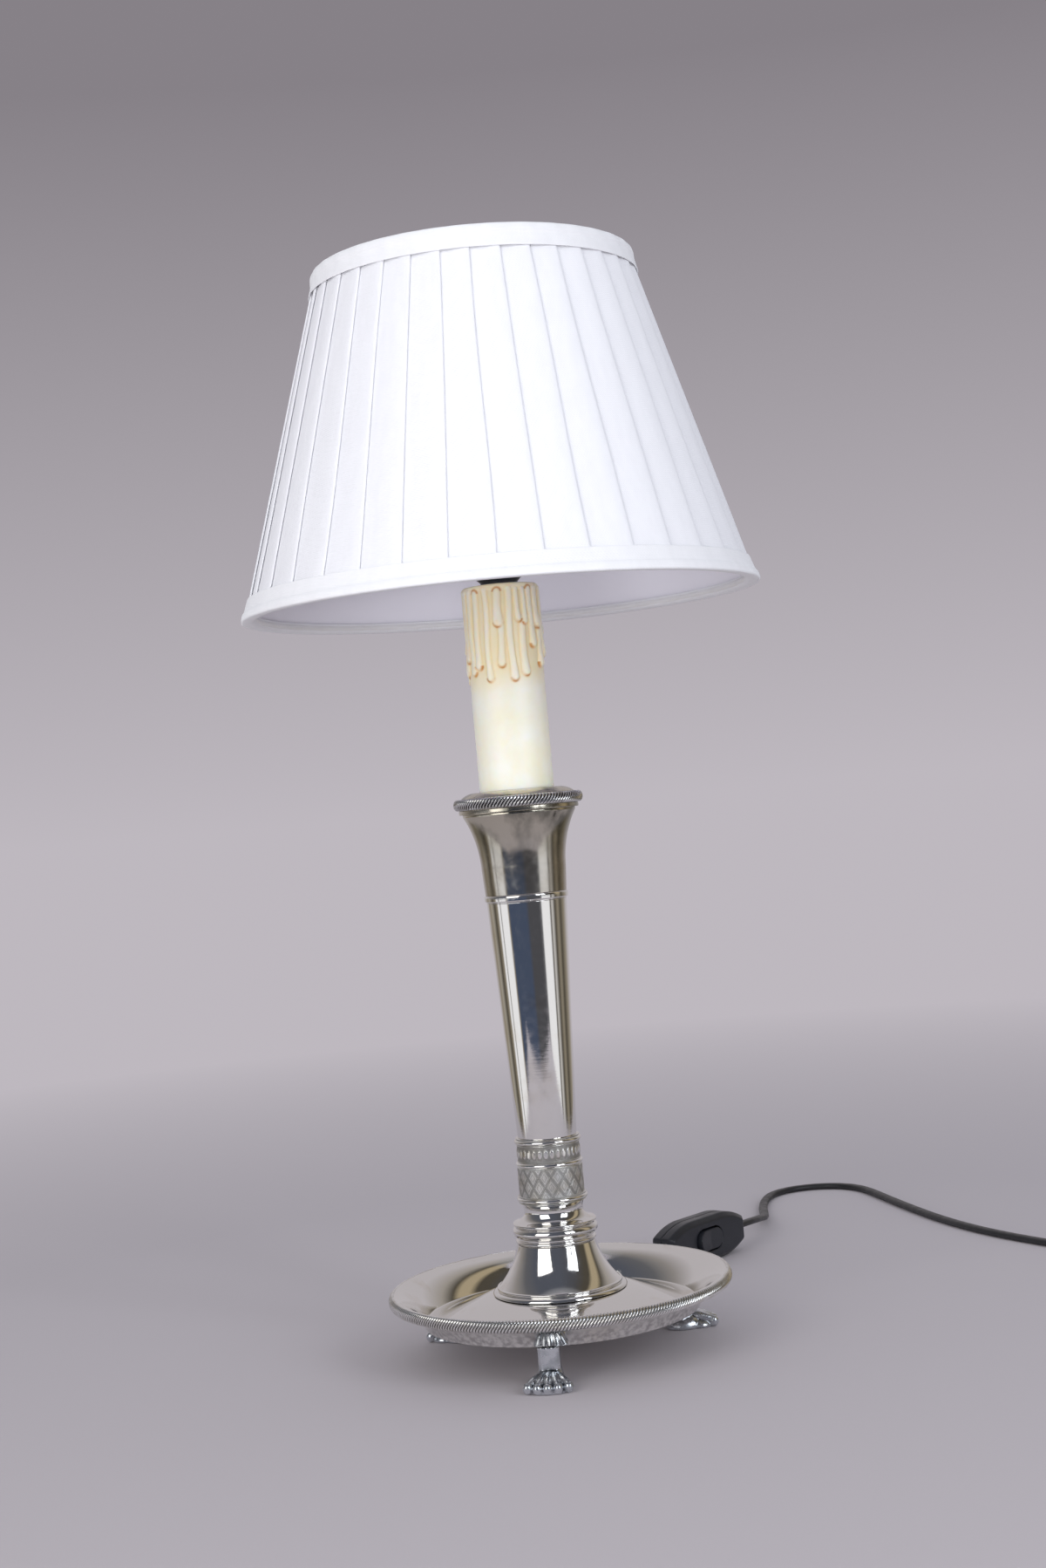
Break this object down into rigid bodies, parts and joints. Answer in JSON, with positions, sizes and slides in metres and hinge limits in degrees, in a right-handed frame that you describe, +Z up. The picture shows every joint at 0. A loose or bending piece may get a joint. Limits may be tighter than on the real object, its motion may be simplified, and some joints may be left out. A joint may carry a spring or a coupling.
{
  "type": "table lamp",
  "caption": "Plated candlestick table lamp on a footed dish, with a wax-drip candle sleeve, a pleated empire shade and a black cord with a rocker switch and plug.",
  "frame": {"origin": "on the floor under the lamp's axis, in the plane of the soles of the feet", "axes": "+Z up along the lamp's axis; -Y towards the viewer of the picture; +X to the viewer's right"},
  "size_m": [0.4981, 0.4848, 0.5257],
  "materials": {
    "silver_plate": "polished silver plate with yellow-brown tarnish",
    "chased_silver": "chased silver plate, matte ground and bright lines",
    "worn_silver": "silver plate, brown and grey tarnish with scratches",
    "rope_silver": "stamped rope border with dark recesses",
    "cast_silver": "cast and plated, dark in the recesses",
    "zinc_steel": "zinc plated",
    "black_plastic": "satin moulded plastic",
    "ivory_resin": "cast resin like wax, amber in the recesses",
    "white_insulator": "glazed ceramic",
    "contact_brass": "stamped brass",
    "wire_insulation": "soft insulation",
    "bulb_cap_metal": "rolled thread",
    "clear_glass": "clear blown glass",
    "filament_phosphor": "yellow phosphor",
    "pleated_cotton": "knife-pleated white cotton",
    "shade_tape": "folded white cotton tape",
    "shade_lining_film": "smooth stiff lining",
    "white_wire": "white coated wire",
    "black_cord": "satin flexible sheath",
    "plated_pin": "nickel plated"
  },
  "bodies": {
    "lamp": {"paw_foot_front": "cast_silver", "paw_foot_right": "cast_silver", "paw_foot_left": "cast_silver", "dish": "silver_plate", "dish_rope": "rope_silver", "bell_foot": "silver_plate", "lower_knop": "silver_plate", "chased_collar": "chased_silver", "column_tube": "silver_plate", "column_ring": "silver_plate", "capital": "worn_silver", "nozzle_plate": "worn_silver", "nozzle_rope": "rope_silver", "lamp_rod": "zinc_steel", "rod_washer": "zinc_steel", "rod_nut": "zinc_steel", "stem_nut": "zinc_steel", "rod_bush": "black_plastic", "candle_sleeve": "ivory_resin", "holder_cap": "black_plastic", "holder_core": "white_insulator", "holder_shell": "contact_brass", "holder_contact": "contact_brass", "holder_terminals": "contact_brass", "holder_wires": "wire_insulation", "holder_skirt": "black_plastic", "cord_riser": "black_cord", "cord_lead": "black_cord", "cord_run": "black_cord", "cord_coil": "black_cord", "cord_tail": "black_cord", "cord_tie": "black_plastic", "plug_body": "black_plastic", "plug_relief": "black_plastic", "plug_pins": "plated_pin", "switch_front": "black_plastic", "switch_back": "black_plastic", "switch_terminals": "contact_brass", "switch_strip": "contact_brass", "switch_screws": "zinc_steel"},
    "shade": {"shade_cover": "pleated_cotton", "shade_lining": "shade_lining_film", "shade_top_band": "shade_tape", "shade_bottom_band": "shade_tape", "shade_top_wire": "white_wire", "shade_bottom_wire": "white_wire", "shade_fitter": "white_wire", "shade_arm_1": "white_wire", "shade_arm_2": "white_wire", "shade_arm_3": "white_wire"},
    "shade_ring": {"shade_ring": "black_plastic"},
    "bulb_tip": {"bulb_contact": "contact_brass"},
    "bulb": {"bulb_cap": "bulb_cap_metal", "bulb_insulator": "white_insulator", "bulb_glass": "clear_glass", "bulb_stem": "clear_glass", "bulb_filaments": "filament_phosphor"},
    "rocker": {"switch_rocker": "black_plastic"}
  },
  "joints": [
    {"name": "shade_turn", "type": "hinge", "parent": "lamp", "child": "shade", "pos_m": [0, 0, 0.3911], "axis": [0, 0, 1], "continuous": true},
    {"name": "shade_ring_turn", "type": "hinge", "parent": "lamp", "child": "shade_ring", "pos_m": [0, 0, 0.3929], "axis": [0, 0, 1], "range_deg": [0, 720]},
    {"name": "bulb_rise", "type": "slide", "parent": "lamp", "child": "bulb_tip", "axis": [0, 0, 1], "range_m": [0, 0.0085]},
    {"name": "bulb_turn", "type": "hinge", "parent": "bulb_tip", "child": "bulb", "pos_m": [0, 0, 0.3914], "axis": [0, 0, 1], "range_deg": [0, 1080]},
    {"name": "rocker_tilt", "type": "hinge", "parent": "lamp", "child": "rocker", "pos_m": [0.08297, 0.16932, 0.0125], "axis": [0, 0, 1], "range_deg": [-12, 0]}
  ],
  "couplings": [
    {"joint": "bulb_rise", "follows": "bulb_turn", "m_per_rad": 0.00044914}
  ]
}
